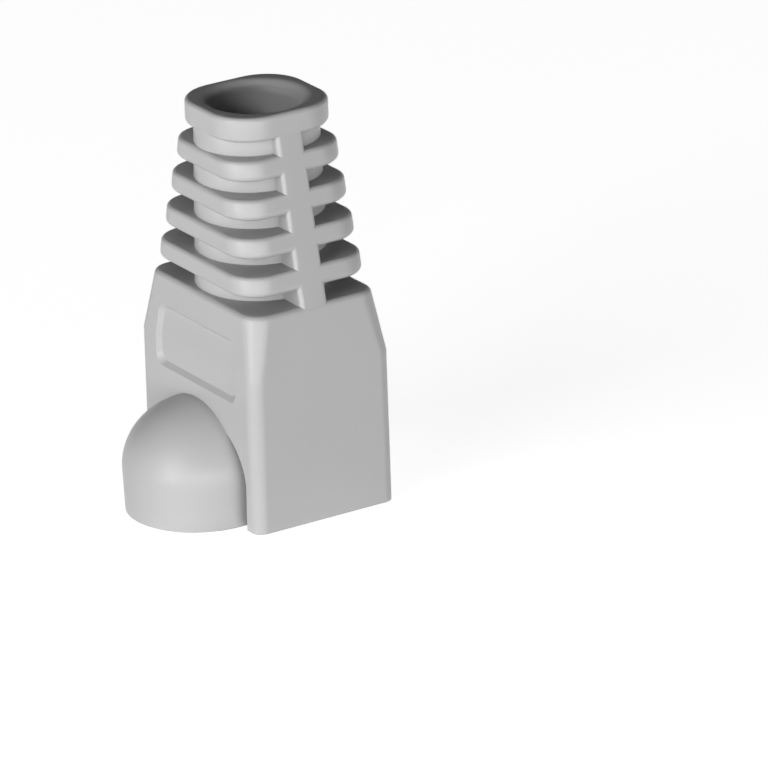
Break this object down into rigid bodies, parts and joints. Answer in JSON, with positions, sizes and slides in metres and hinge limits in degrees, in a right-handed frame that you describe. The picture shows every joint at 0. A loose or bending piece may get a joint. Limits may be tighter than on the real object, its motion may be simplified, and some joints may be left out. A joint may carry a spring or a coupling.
{
  "type": "rj45 strain relief boot",
  "caption": "Soft moulded boot that slips over the back of a modular network plug, with a domed latch hood and a flexible ribbed neck around the cable.",
  "frame": {"origin": "on the cable's axis, in the plane of the open end that takes the plug", "axes": "+Z along the cable's axis, the way the cable leaves; -Y to the front, where the latch hood is; +X across the plug's width"},
  "size_m": [0.0138, 0.0155, 0.0268],
  "materials": {
    "soft_pvc": "satin"
  },
  "bodies": {
    "root": {"strain_relief_boot": "soft_pvc"}
  },
  "joints": []
}
